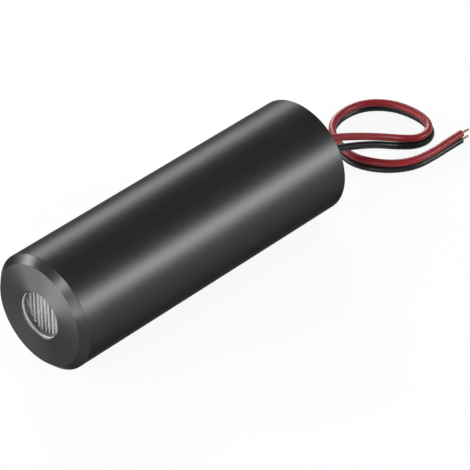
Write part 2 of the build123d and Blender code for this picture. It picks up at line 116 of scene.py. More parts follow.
# %% Lay out the routes
housing_low, housing_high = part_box("housing")
rear_face = housing_high.y
red_exit, black_exit = 1.25, -1.25
on_black, on_floor = -8.0, -9.35
red_route = [
    (0.0, -6.0, red_exit), (0.0, -1.0, red_exit), (0.0, 4.0, 1.0), (0.0, 9.0, -1.0),
    (0.0, 13.9, -3.3), (0.2, 19.1, -5.9), (1.5, 23.4, -7.8), (3.5, 25.6, on_black),
    (3.7, 28.4, on_black), (1.6, 30.8, on_black), (-2.3, 31.5, on_black), (-6.9, 30.6, on_black),
    (-10.2, 27.6, on_black), (-11.2, 23.5, on_black), (-10.4, 19.5, on_black), (-8.2, 16.8, on_black),
    (-5.0, 15.2, on_black), (-1.6, 14.0, on_black), (2.1, 14.9, on_black), (5.5, 17.2, on_black),
    (7.5, 20.6, on_black), (8.0, 24.8, on_black), (7.85, 29.4, on_black), (7.9, 32.0, on_black),
]
black_route = [
    (0.0, -6.0, black_exit), (0.0, -1.0, black_exit), (0.0, 3.8, -1.45), (0.0, 8.7, -3.15),
    (0.0, 13.7, -5.1), (0.2, 18.8, -7.35), (1.2, 22.6, -9.1), (3.5, 25.3, on_floor),
    (4.0, 28.5, on_floor), (1.8, 31.3, on_floor), (-2.4, 32.1, on_floor), (-7.1, 31.2, on_floor),
    (-10.6, 27.9, on_floor), (-11.5, 23.5, on_floor), (-10.5, 19.4, on_floor), (-8.2, 16.8, on_floor),
    (-5.0, 15.2, on_floor), (-1.6, 14.0, on_floor), (2.1, 14.9, on_floor), (5.3, 17.3, on_floor),
    (7.4, 20.7, on_floor), (7.8, 24.8, on_floor), (7.8, 29.4, on_floor), (7.9, 32.0, on_floor),
]


def route_points(route):
    """A route's rows as points in the model's frame, in metres."""
    return [Vector((x * mm, rear_face + y * mm, z * mm)) for x, y, z in route]


red_points = route_points(red_route)
black_points = route_points(black_route)
print("routes of", len(red_points), "and", len(black_points), "points")

# %% [markdown]
# ## The insulation
#
# The insulation is a plain PVC tube that was extruded over the strands. A mesh would do, but a curve with
# a round bevel is the natural form for it: its line is smooth, and a route can be changed point by point.

# %% Draw the insulation along the routes
lead_diameter = 1.3 * mm


def lay_spline(name, points, diameter=0.0):
    """A curve object with one open spline on the control points, as a tube if it has a diameter."""
    curve = bpy.data.curves.new(name, "CURVE")
    curve.dimensions = "3D"
    curve.resolution_u = 16
    curve.bevel_depth = diameter / 2
    curve.bevel_resolution = 7
    curve.use_fill_caps = diameter > 0
    spline = curve.splines.new("NURBS")
    spline.points.add(len(points) - 1)
    for control, place in zip(spline.points, points):
        control.co = (*place, 1.0)
    spline.order_u = 3
    spline.use_endpoint_u = True
    piece = bpy.data.objects.new(name, curve)
    scene.collection.objects.link(piece)
    return piece


red_insulation = lay_spline("red_insulation", red_points, lead_diameter)
black_insulation = lay_spline("black_insulation", black_points, lead_diameter)
print("insulation", lead_diameter / mm, "mm across on", red_insulation.name, "and", black_insulation.name)

# %% [markdown]
# ## Helpers for nodes and colours
#
# Every finish below is a small node tree. Trees could be clicked together by hand, but a script can be
# read and run again. One function adds a node, sets its properties, and sets or links its inputs. Another
# turns a colour as it is written for a screen into the linear numbers that Blender mixes. No real surface
# has one even colour, so a third lets the colour and the gloss wander a little, a fourth adds a fine
# relief, and a last one ends the material in its shader.

# %% Define the helpers
def add_node(tree, kind, inputs=None, **settings):
    """One node with its properties. An input takes a value, a socket, or a node's first socket in use."""
    node = tree.nodes.new(kind)
    for name, value in settings.items():
        setattr(node, name, value)
    for key, value in (inputs or {}).items():
        if isinstance(value, bpy.types.Node):
            value = next(socket for socket in value.outputs if socket.enabled)
        if isinstance(value, bpy.types.NodeSocket):
            tree.links.new(value, node.inputs[key])
        else:
            node.inputs[key].default_value = value
    return node


def linear(code):
    """An sRGB hex colour as linear red, green, blue and alpha."""
    parts = [int(code[i : i + 2], 16) / 255 for i in (1, 3, 5)]
    return (*[p / 12.92 if p <= 0.04045 else ((p + 0.055) / 1.055) ** 2.4 for p in parts], 1.0)


def start_material(name):
    """A new material with an empty node tree, and the piece's own coordinates in that tree."""
    material = bpy.data.materials.new(name)
    material.use_nodes = True
    tree = material.node_tree
    tree.nodes.clear()
    return material, tree, add_node(tree, "ShaderNodeTexCoord").outputs["Object"]


def per_metre(size_in_mm):
    """The scale at which a texture's features are about this many millimetres across."""
    return 1.0 / (size_in_mm * mm)


def mottled(tree, place, size, deep, pale, smoothest, roughest, detail=3.0):
    """A colour and a roughness that wander together, in patches of this many millimetres."""
    patches = add_node(tree, "ShaderNodeTexNoise", {
        "Vector": place, "Scale": per_metre(size), "Detail": detail,
    })
    colour = add_node(tree, "ShaderNodeMix", {
        "Factor": patches, "A": linear(deep), "B": linear(pale),
    }, data_type="RGBA")
    roughness = add_node(tree, "ShaderNodeMapRange", {
        "Value": patches, "To Min": smoothest, "To Max": roughest,
    })
    return colour, roughness


def fine_relief(tree, place, size, strength, depth, detail=1.0):
    """A bump of grains of this many millimetres, and the noise that it comes from."""
    grains = add_node(tree, "ShaderNodeTexNoise", {
        "Vector": place, "Scale": per_metre(size), "Detail": detail,
    })
    bump = add_node(tree, "ShaderNodeBump", {"Height": grains, "Strength": strength, "Distance": depth * mm})
    return bump, grains


def end_material(tree, inputs):
    """Ends a material in a shader with these inputs, and returns the shader."""
    shader = add_node(tree, "ShaderNodeBsdfPrincipled", inputs)
    add_node(tree, "ShaderNodeOutputMaterial", {"Surface": shader})
    return shader


print("the grey #464646 is", round(linear("#464646")[0], 3), "in linear numbers")

# %% [markdown]
# ## The lathe
#
# The real housing is bar stock turned on a lathe: a half section goes round the axis. Blender's Screw
# modifier or a spun mesh would do that too. Here a node tree is the lathe, so that the number of steps and
# the size of every broken edge stay inputs. A grid gets one row for each point of the section, and each of
# its columns is a copy of the section that is turned a little further about the Y axis.

# %% Build the lathe
def start_tree(name, inputs):
    """A geometry node tree with these named inputs and one geometry output, and its inputs' sockets."""
    tree = bpy.data.node_groups.new(name, "GeometryNodeTree")
    tree.is_modifier = True
    for label, kind in inputs.items():
        tree.interface.new_socket(label, in_out="INPUT", socket_type=kind)
    tree.interface.new_socket("Geometry", in_out="OUTPUT", socket_type="NodeSocketGeometry")
    return tree, add_node(tree, "NodeGroupInput").outputs


def finish_tree(tree, geometry, material):
    """Ends a tree in smooth shading, Realize Instances and Set Material."""
    smooth = add_node(tree, "GeometryNodeSetShadeSmooth", {"Geometry": geometry})
    whole = add_node(tree, "GeometryNodeRealizeInstances", {"Geometry": smooth})
    painted = add_node(tree, "GeometryNodeSetMaterial", {"Geometry": whole, "Material": material})
    add_node(tree, "NodeGroupOutput", {0: painted})


lathe, given = start_tree("lathe", {
    "Section": "NodeSocketGeometry",
    "Steps Round": "NodeSocketInt",
    "Steps per Edge": "NodeSocketInt",
    "Material": "NodeSocketMaterial",
})
section = add_node(lathe, "GeometryNodeMeshToCurve", {"Mesh": given["Section"]})
edge_radius = add_node(lathe, "GeometryNodeInputNamedAttribute", {"Name": "edge_radius"}, data_type="FLOAT")
rounded = add_node(lathe, "GeometryNodeFilletCurve", {
    "Curve": section, "Count": given["Steps per Edge"], "Radius": edge_radius, "Limit Radius": True,
}, mode="POLY")
count = add_node(lathe, "GeometryNodeAttributeDomainSize", {0: rounded}, component="CURVE")
rows = add_node(lathe, "ShaderNodeMath", {0: count, 1: 1.0}, operation="ADD")
columns = add_node(lathe, "ShaderNodeMath", {0: given["Steps Round"], 1: 1.0}, operation="ADD")
grid = add_node(lathe, "GeometryNodeMeshGrid", {"Vertices X": rows, "Vertices Y": columns})
print("the lathe starts from a grid, after", len(lathe.nodes), "nodes")

# %% [markdown]
# The grid's points are numbered column by column within each row. So a whole division of a point's number
# gives the row, which is the place on the section, and what is left over gives the column, which is the
# angle.

# %% Turn the grid round the axis
seam_gap = 0.0005 * mm
index = add_node(lathe, "GeometryNodeInputIndex")
rows_passed = add_node(lathe, "ShaderNodeMath", {0: index, 1: columns}, operation="DIVIDE")
row = add_node(lathe, "ShaderNodeMath", {0: rows_passed}, operation="FLOOR")
row_in_loop = add_node(lathe, "ShaderNodeMath", {0: row, 1: count}, operation="MODULO")
column = add_node(lathe, "ShaderNodeMath", {0: index, 1: columns}, operation="MODULO")
turn = add_node(lathe, "ShaderNodeMath", {0: column, 1: given["Steps Round"]}, operation="DIVIDE")
angle = add_node(lathe, "ShaderNodeMath", {0: turn, 1: 2 * pi}, operation="MULTIPLY")
position = add_node(lathe, "GeometryNodeInputPosition")
on_section = add_node(lathe, "GeometryNodeSampleIndex", {
    "Geometry": rounded, "Value": position, "Index": row_in_loop,
}, data_type="FLOAT_VECTOR", domain="POINT")
turned = add_node(lathe, "ShaderNodeVectorRotate", {
    "Vector": on_section, "Axis": (0, 1, 0), "Angle": angle,
}, rotation_type="AXIS_ANGLE")
placed = add_node(lathe, "GeometryNodeSetPosition", {"Geometry": grid, "Position": turned})
closed = add_node(lathe, "GeometryNodeMergeByDistance", {"Geometry": placed, "Distance": seam_gap})
finish_tree(lathe, closed, given["Material"])
print("lathe of", len(lathe.nodes), "nodes")

# %% [markdown]
# ## From a tree to a piece
#
# A tree's result could stay live as a modifier, but instances and live trees don't travel to other
# programs. So it is turned into a plain mesh before it joins the object. Long flat faces next to tiny
# rounded edges would shade unevenly, so the normals are weighted by face area, which keeps the flats flat.

# %% Define how a tree becomes a piece
def settle(piece):
    """Makes the evaluated shape the piece's own mesh and drops its modifiers."""
    graph = bpy.context.evaluated_depsgraph_get()
    evaluated = piece.evaluated_get(graph)
    shape = bpy.data.meshes.new_from_object(evaluated, preserve_all_data_layers=True, depsgraph=graph)
    piece.modifiers.clear()
    piece.data = shape


def run_tree(piece, tree, **values):
    """Runs a node tree on a piece and keeps its result as the piece's own plain mesh."""
    modifier = piece.modifiers.new(tree.name, "NODES")
    modifier.node_group = tree
    for item in tree.interface.items_tree:
        label = item.name.replace(" ", "_").lower()
        if item.in_out == "INPUT" and label in values:
            modifier[item.identifier] = values[label]
    settle(piece)
    # Set Material leaves an empty first slot behind for faces that had no material.
    if piece.data.materials[0] is None:
        piece.data.materials.pop(index=0)


def face_outwards(piece):
    """Recalculates a closed piece's normals so that every face points out."""
    shape = bmesh.new()
    shape.from_mesh(piece.data)
    bmesh.ops.recalc_face_normals(shape, faces=shape.faces)
    shape.to_mesh(piece.data)
    shape.free()


def keep_flats_flat(piece):
    """Weights the normals by face area, so that small rounded edges don't bend the shading of flats."""
    piece.modifiers.new("area_normals", "WEIGHTED_NORMAL").weight = 100
    settle(piece)


def new_piece(name, mesh):
    """An object for a mesh, at the origin, in the scene."""
    piece = bpy.data.objects.new(name, mesh)
    scene.collection.objects.link(piece)
    return piece


print("node trees so far:", [tree.name for tree in bpy.data.node_groups])

# %% [markdown]
# ## Black anodised aluminium
#
# The tube is aluminium that was turned, blasted to an even satin and dyed black in the anodising bath. A
# picture of such a surface could be wrapped round it, but nodes need no file and stay sharp from close by.
# The dyed skin swallows most of the light, so the finish is a metal of very dark grey with a wide soft
# highlight. The blast leaves a fine grain, and the bath a faint cloudiness over some millimetres. The
# chamfer was cut more smoothly, so its glints are tighter.

# %% Mix the anodised finish
cloud_size = 5.0
# The real grain is about half as large. It is drawn at 0.12 mm so that it shows at all.
blast_grain = 0.12


def anodised_black(name, pale, deep, edge_tint, smoothest, roughest):
    """Dyed aluminium, which gives the eye a broad sheen on near black. The nodes are for further work."""
    material, tree, place = start_material(name)
    colour, roughness = mottled(tree, place, cloud_size, deep, pale, smoothest, roughest)
    bump, _ = fine_relief(tree, place, blast_grain, strength=0.06, depth=0.02)
    shader = end_material(tree, {
        "Base Color": colour, "Metallic": 1.0, "Roughness": roughness,
        "Specular Tint": linear(edge_tint), "Normal": bump,
    })
    return material, tree, place, bump, shader


anodised = anodised_black(
    "blasted_black_anodised_aluminium", "#464646", "#404040", "#9D9D9D", 0.37, 0.42
)[0]
anodised_edge = anodised_black(
    "turned_black_anodised_aluminium", "#454545", "#3F3F3F", "#A8A8A8", 0.27, 0.31
)[0]
print("mixed", anodised.name, "and", anodised_edge.name)

# %% [markdown]
# ## The rings of the front face
#
# The front face was cut across on the lathe, which leaves fine rings that lean outwards like the teeth of
# a file. They could be modelled, but they are far too fine. So the shading normal leans outwards
# everywhere, and the highlight is stretched across the rings. Both turn the light of a lamp in front into
# a bright sector between the hole and the rim.

# %% Lean the rings of the front face
ring_lean = radians(30)
ring_stretch = 0.4
quarter_turn = 0.25
faced, tree, place, bump, shader = anodised_black(
    "faced_black_anodised_aluminium", "#494949", "#434343", "#C0C0C0", 0.50, 0.54
)
from_axis = add_node(tree, "ShaderNodeVectorMath", {0: place, 1: (1, 0, 1)}, operation="MULTIPLY")
out = add_node(tree, "ShaderNodeVectorMath", {0: from_axis}, operation="LENGTH")
lean = add_node(tree, "ShaderNodeBump", {
    "Height": out, "Strength": 1.0, "Distance": tan(ring_lean),
}, invert=True)
lay = add_node(tree, "ShaderNodeTangent", direction_type="RADIAL", axis="Y")
tree.links.new(lean.outputs[0], bump.inputs["Normal"])
tree.links.new(lay.outputs[0], shader.inputs["Tangent"])
shader.inputs["Anisotropic"].default_value = ring_stretch
shader.inputs["Anisotropic Rotation"].default_value = quarter_turn
print("mixed", faced.name)

# %% [markdown]
# ## The bored wall
#
# The wall of the hole shows a bright lip, so it is taken to be bored after the dye, which bares the metal.
# One colour would make the whole wall as bright as its lip. So a painted shade darkens the colour from the
# bright lip to a duller wall further in, by the depth behind the front face.

# %% Bare the wall of the hole
shade_start_depth, full_shade_depth = 0.45 * mm, 0.7 * mm
scratch_size = 0.3
bared, tree, place = start_material("bored_aluminium")
inwards = add_node(tree, "ShaderNodeSeparateXYZ", {0: place})
# Painted shade: the wall's colour darkens from 0.45 mm to 0.7 mm behind the front face.
painted_wall_shade = add_node(tree, "ShaderNodeMapRange", {
    "Value": inwards.outputs["Y"],
    "From Min": housing_low.y + shade_start_depth, "From Max": housing_low.y + full_shade_depth,
})
# The bare metal's own bright colour, going over into the painted shade deeper in.
bare_colour_with_painted_shade = add_node(tree, "ShaderNodeMix", {
    "Factor": painted_wall_shade, "A": linear("#F0F0F0"), "B": linear("#8C8C8C"),
}, data_type="RGBA")
scratches = add_node(tree, "ShaderNodeTexNoise", {
    "Vector": place, "Scale": per_metre(scratch_size), "Detail": 2.0,
})
rubbed = add_node(tree, "ShaderNodeMapRange", {"Value": scratches, "To Min": 0.75, "To Max": 0.9})
# Rough bare metal gives the eye a pale, soft rim without sharp glints.
end_material(tree, {"Base Color": bare_colour_with_painted_shade, "Metallic": 1.0, "Roughness": rubbed})
print("mixed", bared.name)

# %% [markdown]
# ## The housing
#
# The section below starts at the hole's front edge and runs round the metal: over the face and the
# chamfer, along the outside, in at the rear, and back through the stepped bores to the hole. The bores
# take their sizes from the pieces that sit in them. Each corner has the radius to which it is broken,
# because a real edge is never sharp and its thin line of light is what makes metal look real.

# %% Turn the housing
lens_low, lens_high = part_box("line_lens")
barrel_low, barrel_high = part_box("optics_barrel")
cap_low, cap_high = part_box("rear_cap")
front_face = housing_low.y
housing_radius = housing_high.x
front_chamfer = 1.2 * mm
rear_chamfer = 0.2 * mm
aperture_radius = 4.0 * mm
aperture_chamfer = 0.15 * mm
bore_play = 0.01 * mm
pocket_play = 0.05 * mm
pocket_radius = lens_high.x + pocket_play
barrel_bore = barrel_high.x + bore_play
board_bore = cap_high.x + bore_play
# Each row is a radius and a depth in metres, and the radius of the broken edge in millimetres.
housing_section = [
    (aperture_radius + aperture_chamfer, front_face, 0.02),
    (housing_radius - front_chamfer, front_face, 0.08),
    (housing_radius, front_face + front_chamfer, 0.10),
    (housing_radius, rear_face - rear_chamfer, 0.06),
    (housing_radius - rear_chamfer, rear_face, 0.06),
    (board_bore + rear_chamfer, rear_face, 0.04),
    (board_bore, rear_face - rear_chamfer, 0.04),
    (board_bore, barrel_high.y, 0.0),
    (barrel_bore, barrel_high.y, 0.0),
    (barrel_bore, barrel_low.y, 0.0),
    (pocket_radius, barrel_low.y, 0.0),
    (pocket_radius, lens_low.y, 0.0),
    (aperture_radius, lens_low.y, 0.0),
    (aperture_radius, front_face + aperture_chamfer, 0.02),
]
section_mesh = bpy.data.meshes.new("housing_section")
corner_count = len(housing_section)
section_mesh.from_pydata(
    [(r, y, 0.0) for r, y, _ in housing_section],
    [(i, (i + 1) % corner_count) for i in range(corner_count)], [],
)
edge_values = section_mesh.attributes.new("edge_radius", "FLOAT", "POINT").data
edge_values.foreach_set("value", [edge * mm for _, _, edge in housing_section])
housing = new_piece("turned_housing", section_mesh)
run_tree(housing, lathe, steps_round=192, steps_per_edge=4, material=anodised)
face_outwards(housing)
keep_flats_flat(housing)
print("housing of", len(housing.data.polygons), "faces")

# %% [markdown]
# The satin finish covers the whole housing so far. The face, the chamfer and the bored wall have finishes
# of their own. Each face of the mesh could be picked by hand, but its distance from the axis and its depth
# behind the front face already say where it belongs.

# %% Give the cut surfaces their finishes
faced_index, edge_index, bared_index = 1, 2, 3
face_depth = 0.01 * mm
for material in (faced, anodised_edge, bared):
    housing.data.materials.append(material)
for polygon in housing.data.polygons:
    radius = Vector((polygon.center.x, polygon.center.z)).length
    depth = polygon.center.y - front_face
    if depth < front_chamfer and radius > housing_radius - front_chamfer:
        polygon.material_index = edge_index
    elif depth < face_depth:
        polygon.material_index = faced_index
    elif radius < aperture_radius and depth > aperture_chamfer:
        polygon.material_index = bared_index
bare_count = sum(polygon.material_index == bared_index for polygon in housing.data.polygons)
print("the bared wall has", bare_count, "faces")

# %% [markdown]
# ## The line lens
#
# A disc of clear acrylic with eleven upright ribs. Each rib is a little cylinder lens, and together they
# fan the beam out into a line. Eleven cylinders could be cut with a disc, but that leaves ragged faces.
# The ribs repeat, so nodes make them: a box of many small faces is pressed into a disc, column by column.
# Each column of the box runs along a chord of the disc. Its middle rows share out the ribbed field, and
# its outer rows make the flat seating rim.

# %% Size the columns of the lens
ribbing, given = start_tree("ribbing", {
    "Geometry": "NodeSocketGeometry",
    "Lens Radius": "NodeSocketFloat",
    "Field Radius": "NodeSocketFloat",
    "Rib Pitch": "NodeSocketFloat",
    "Rib Height": "NodeSocketFloat",
    "Front": "NodeSocketFloat",
    "Back": "NodeSocketFloat",
    "Columns": "NodeSocketInt",
    "Material": "NodeSocketMaterial",
})
box = add_node(ribbing, "GeometryNodeMeshCube", {
    "Size": (2.0, 2.0, 4.0), "Vertices X": given["Columns"], "Vertices Y": 2, "Vertices Z": 41,
})
box_place = add_node(ribbing, "GeometryNodeInputPosition")
box_axes = add_node(ribbing, "ShaderNodeSeparateXYZ", {0: box_place})
across = add_node(ribbing, "ShaderNodeMath", {
    0: box_axes.outputs["X"], 1: given["Lens Radius"],
}, operation="MULTIPLY")
across_squared = add_node(ribbing, "ShaderNodeMath", {0: across, 1: 2.0}, operation="POWER")
height = add_node(ribbing, "ShaderNodeMath", {0: box_axes.outputs["Z"]}, operation="ABSOLUTE")
above = add_node(ribbing, "ShaderNodeMath", {0: box_axes.outputs["Z"]}, operation="SIGN")


def half_chord(radius):
    """Half the height of a disc of this radius at the column, or nothing outside it."""
    squared = add_node(ribbing, "ShaderNodeMath", {0: radius, 1: 2.0}, operation="POWER")
    rest = add_node(ribbing, "ShaderNodeMath", {0: squared, 1: across_squared}, operation="SUBTRACT")
    room = add_node(ribbing, "ShaderNodeMath", {0: rest, 1: 0.0}, operation="MAXIMUM")
    return add_node(ribbing, "ShaderNodeMath", {0: room}, operation="SQRT")


field_chord = half_chord(given["Field Radius"])
lens_chord = half_chord(given["Lens Radius"])
# Rows up to 1 share out the field's chord, and rows from 1.1 to 2 the rim, with a step between them.
field_share = add_node(ribbing, "ShaderNodeMapRange", {"Value": height, "To Max": field_chord})
rim_width = add_node(ribbing, "ShaderNodeMath", {0: lens_chord, 1: field_chord}, operation="SUBTRACT")
rim_share = add_node(ribbing, "ShaderNodeMapRange", {
    "Value": height, "From Min": 1.1, "From Max": 2.0, "To Max": rim_width,
})
half_height = add_node(ribbing, "ShaderNodeMath", {0: field_share, 1: rim_share}, operation="ADD")
up = add_node(ribbing, "ShaderNodeMath", {0: half_height, 1: above}, operation="MULTIPLY")
print("columns sized by", len(ribbing.nodes), "nodes")

# %% [markdown]
# The front of each column is then set back by the arc of the rib that it belongs to. A wave would be
# simpler, but a real rib is part of a cylinder. Its radius follows from the pitch and the height of the
# rib.

# %% Press the ribs
half_pitch = add_node(ribbing, "ShaderNodeMath", {0: given["Rib Pitch"], 1: 0.5}, operation="MULTIPLY")
minus_half_pitch = add_node(ribbing, "ShaderNodeMath", {
    0: given["Rib Pitch"], 1: -0.5,
}, operation="MULTIPLY")
half_pitch_squared = add_node(ribbing, "ShaderNodeMath", {0: half_pitch, 1: 2.0}, operation="POWER")
rib_height_squared = add_node(ribbing, "ShaderNodeMath", {
    0: given["Rib Height"], 1: 2.0,
}, operation="POWER")
arc_sum = add_node(ribbing, "ShaderNodeMath", {
    0: half_pitch_squared, 1: rib_height_squared,
}, operation="ADD")
arc_double = add_node(ribbing, "ShaderNodeMath", {0: given["Rib Height"], 1: 2.0}, operation="MULTIPLY")
arc_radius = add_node(ribbing, "ShaderNodeMath", {0: arc_sum, 1: arc_double}, operation="DIVIDE")
from_crest = add_node(ribbing, "ShaderNodeMath", {
    0: across, 1: half_pitch, 2: minus_half_pitch,
}, operation="WRAP")
from_crest_squared = add_node(ribbing, "ShaderNodeMath", {0: from_crest, 1: 2.0}, operation="POWER")
arc_squared = add_node(ribbing, "ShaderNodeMath", {0: arc_radius, 1: 2.0}, operation="POWER")
arc_rest = add_node(ribbing, "ShaderNodeMath", {
    0: arc_squared, 1: from_crest_squared,
}, operation="SUBTRACT")
arc_depth = add_node(ribbing, "ShaderNodeMath", {0: arc_rest}, operation="SQRT")
setback = add_node(ribbing, "ShaderNodeMath", {0: arc_radius, 1: arc_depth}, operation="SUBTRACT")
# Only the field is set back: the rows up to 1, where the field has a chord.
in_rows = add_node(ribbing, "ShaderNodeMath", {0: height, 1: 1.05}, operation="LESS_THAN")
in_field = add_node(ribbing, "ShaderNodeMath", {0: field_chord, 1: 0.0}, operation="GREATER_THAN")
ribbed = add_node(ribbing, "ShaderNodeMath", {0: in_rows, 1: in_field}, operation="MULTIPLY")
ribbed_setback = add_node(ribbing, "ShaderNodeMath", {0: setback, 1: ribbed}, operation="MULTIPLY")
front = add_node(ribbing, "ShaderNodeMath", {0: given["Front"], 1: ribbed_setback}, operation="ADD")
depth = add_node(ribbing, "ShaderNodeMapRange", {
    "Value": box_axes.outputs["Y"], "From Min": -1.0, "From Max": 1.0,
    "To Min": front, "To Max": given["Back"],
})
lens_place = add_node(ribbing, "ShaderNodeCombineXYZ", {"X": across, "Y": depth, "Z": up})
pressed = add_node(ribbing, "GeometryNodeSetPosition", {"Geometry": box, "Position": lens_place})
pole_gap = 0.001 * mm
lens_closed = add_node(ribbing, "GeometryNodeMergeByDistance", {"Geometry": pressed, "Distance": pole_gap})
finish_tree(ribbing, lens_closed, given["Material"])
print("ribbing tree of", len(ribbing.nodes), "nodes")

# %% [markdown]
# ## Moulded clear acrylic
#
# The lens is moulded. Its skin is as smooth as the polished mould, while its body is slightly hazy, so a
# clear coat lies over a rougher body. Plain glass would show a jumble of the pieces behind it. The melt
# leaves upright streaks as it fills the mould. The valleys between the ribs are given a painted shade, a
# darker colour than the crests, so each rib shows as a bright upright line.

# %% Mix the acrylic
rib_pitch = 0.8 * mm
crest_width = 0.2 * mm
streak_width = 0.8
streak_squeeze = (1, 0, 0.08)
streak_swing = 0.45
flow_low, flow_high = 0.35, 0.65
acrylic, tree, place = start_material("moulded_clear_acrylic")
upright = add_node(tree, "ShaderNodeVectorMath", {0: place, 1: streak_squeeze}, operation="MULTIPLY")
flow = add_node(tree, "ShaderNodeTexNoise", {
    "Vector": upright, "Scale": per_metre(streak_width), "Detail": 1.0,
})
sides = add_node(tree, "ShaderNodeSeparateXYZ", {0: place})
off_rib = add_node(tree, "ShaderNodeMath", {
    0: sides.outputs["X"], 1: rib_pitch / 2, 2: -rib_pitch / 2,
}, operation="WRAP")
off_crest = add_node(tree, "ShaderNodeMath", {0: off_rib}, operation="ABSOLUTE")
# Painted shade: the colour darkens from 0.1 mm off a rib's crest to the middle of the valley.
painted_valley_shade = add_node(tree, "ShaderNodeMapRange", {
    "Value": off_crest, "From Min": crest_width / 2, "From Max": rib_pitch / 2,
})
streak = add_node(tree, "ShaderNodeMapRange", {
    "Value": flow, "From Min": flow_low, "From Max": flow_high,
    "To Min": -streak_swing, "To Max": streak_swing,
})
# The painted valley shade plus the random streaks, held between 0 and 1.
valley_shade_and_streaks = add_node(tree, "ShaderNodeMath", {0: painted_valley_shade, 1: streak}, operation="ADD", use_clamp=True)
tone = add_node(tree, "ShaderNodeMix", {
    "Factor": valley_shade_and_streaks, "A": linear("#FFFFFF"), "B": linear("#5A5A5A"),
}, data_type="RGBA")
haze = add_node(tree, "ShaderNodeMapRange", {"Value": flow, "To Min": 0.14, "To Max": 0.20})
end_material(tree, {
    "Base Color": tone, "Roughness": haze, "IOR": 1.49, "Transmission Weight": 0.82,
    "Coat Weight": 1.0, "Coat Roughness": 0.04, "Coat IOR": 1.49,
})
print("mixed", acrylic.name)

# %% [markdown]
# The tree needs no mesh to start from, so the piece begins empty and the tree gives it everything. The
# angle between neighbouring faces then tells the soft crests of the ribs from the sharp valleys between
# them.

# %% Press the lens
valley_angle = radians(30)
line_lens = new_piece("ribbed_lens", bpy.data.meshes.new("ribbed_lens"))
run_tree(
    line_lens, ribbing, lens_radius=lens_high.x, field_radius=4.2 * mm,
    rib_pitch=rib_pitch, rib_height=0.16 * mm,
    front=lens_low.y, back=lens_high.y, columns=201, material=acrylic,
)
face_outwards(line_lens)
line_lens.data.set_sharp_from_angle(angle=valley_angle)
print("lens of", len(line_lens.data.polygons), "faces")

# %% [markdown]
# ## The rear cap
#
# A moulded black disc closes the rear bore, with a hole for each lead. Holes could be cut into a disc with
# booleans. A flat curve with three circles does it more cleanly: it fills the space between the outer
# circle and the two holes, and its bevel rounds every edge at once.

# %% Mould the rear cap
cap_rounding = 0.2 * mm
lead_hole = 0.73 * mm
outline = bpy.data.curves.new("rear_cap_outline", "CURVE")
outline.dimensions = "2D"
outline.fill_mode = "BOTH"
outline.resolution_u = 24
outline.extrude = (cap_high.y - cap_low.y) / 2 - cap_rounding
outline.bevel_depth = cap_rounding
outline.bevel_resolution = 3
# A quarter circle drawn with two handles has handles of this share of its radius.
bow = 4 / 3 * (sqrt(2) - 1)
quarters = ((1, 0), (0, 1), (-1, 0), (0, -1))
for radius, centre in (
    (cap_high.x - cap_rounding, 0.0),
    (lead_hole + cap_rounding, red_exit * mm),
    (lead_hole + cap_rounding, black_exit * mm),
):
    circle = outline.splines.new("BEZIER")
    circle.bezier_points.add(len(quarters) - 1)
    circle.use_cyclic_u = True
    for point, (x, y) in zip(circle.bezier_points, quarters):
        ahead = Vector((-y, x, 0)) * radius * bow
        point.co = Vector((x, y, 0)) * radius + Vector((0, centre, 0))
        point.handle_left = point.co - ahead
        point.handle_right = point.co + ahead
flat_curve = new_piece("rear_cap_outline", outline)
flat_cap = bpy.data.meshes.new_from_object(flat_curve)
bpy.data.objects.remove(flat_curve)
cap_middle = (cap_low.y + cap_high.y) / 2
flat_cap.transform(Matrix.Translation((0, cap_middle, 0)) @ Matrix.Rotation(radians(90), 4, "X"))
rear_cap = new_piece("moulded_cap", flat_cap)
face_outwards(rear_cap)
rear_cap.data.shade_smooth()
keep_flats_flat(rear_cap)
print("cap of", len(rear_cap.data.polygons), "faces")

# %% [markdown]
# The cap is ABS from a spark-eroded mould. The sparks leave small pits in the steel, and the plastic takes
# them over, which gives the eye a dull black with a slight sparkle. One noise makes both the pits and
# their gloss.

# %% Finish the rear cap
# The real pits are finer. They are drawn at 0.2 mm so that they show.
pit_size = 0.2
moulded_black, tree, place = start_material("moulded_black_abs")
bump, pits = fine_relief(tree, place, pit_size, strength=0.25, depth=0.03, detail=2.0)
matt = add_node(tree, "ShaderNodeMapRange", {"Value": pits, "To Min": 0.5, "To Max": 0.65})
end_material(tree, {"Base Color": linear("#222223"), "Roughness": matt, "IOR": 1.54, "Normal": bump})
rear_cap.data.materials.append(moulded_black)
print("mixed", moulded_black.name)

# %% [markdown]
# ## The stranded conductors
#
# Inside each lead seven fine tinned strands are laid in a slow twist. They show only at the bare ends, but
# they run the whole way. Each strand could have a spline of its own. But all follow one line, which is
# read from the route's spline: nodes copy that line once for each strand, push the copies out to a circle
# that turns with the length, and give each a round section.

# %% Build the stranding tree
strand_step = 0.2 * mm
stranding, given = start_tree("stranding", {
    "Line": "NodeSocketGeometry",
    "Strands Round": "NodeSocketInt",
    "Strand Radius": "NodeSocketFloat",
    "Lay Length": "NodeSocketFloat",
    "Material": "NodeSocketMaterial",
})
strands_round = given["Strands Round"]
line = add_node(stranding, "GeometryNodeMeshToCurve", {"Mesh": given["Line"]})
even = add_node(stranding, "GeometryNodeResampleCurve", {
    "Curve": line, "Length": strand_step,
}, mode="LENGTH")
amount = add_node(stranding, "ShaderNodeMath", {0: strands_round, 1: 1.0}, operation="ADD")
copies = add_node(stranding, "GeometryNodeDuplicateElements", {
    "Geometry": even, "Amount": amount,
}, domain="SPLINE")
copy_number = copies.outputs["Duplicate Index"]
share = add_node(stranding, "ShaderNodeMath", {0: copy_number, 1: strands_round}, operation="DIVIDE")
way = add_node(stranding, "GeometryNodeSplineParameter").outputs["Length"]
turns = add_node(stranding, "ShaderNodeMath", {0: way, 1: given["Lay Length"]}, operation="DIVIDE")
all_turns = add_node(stranding, "ShaderNodeMath", {0: turns, 1: share}, operation="ADD")
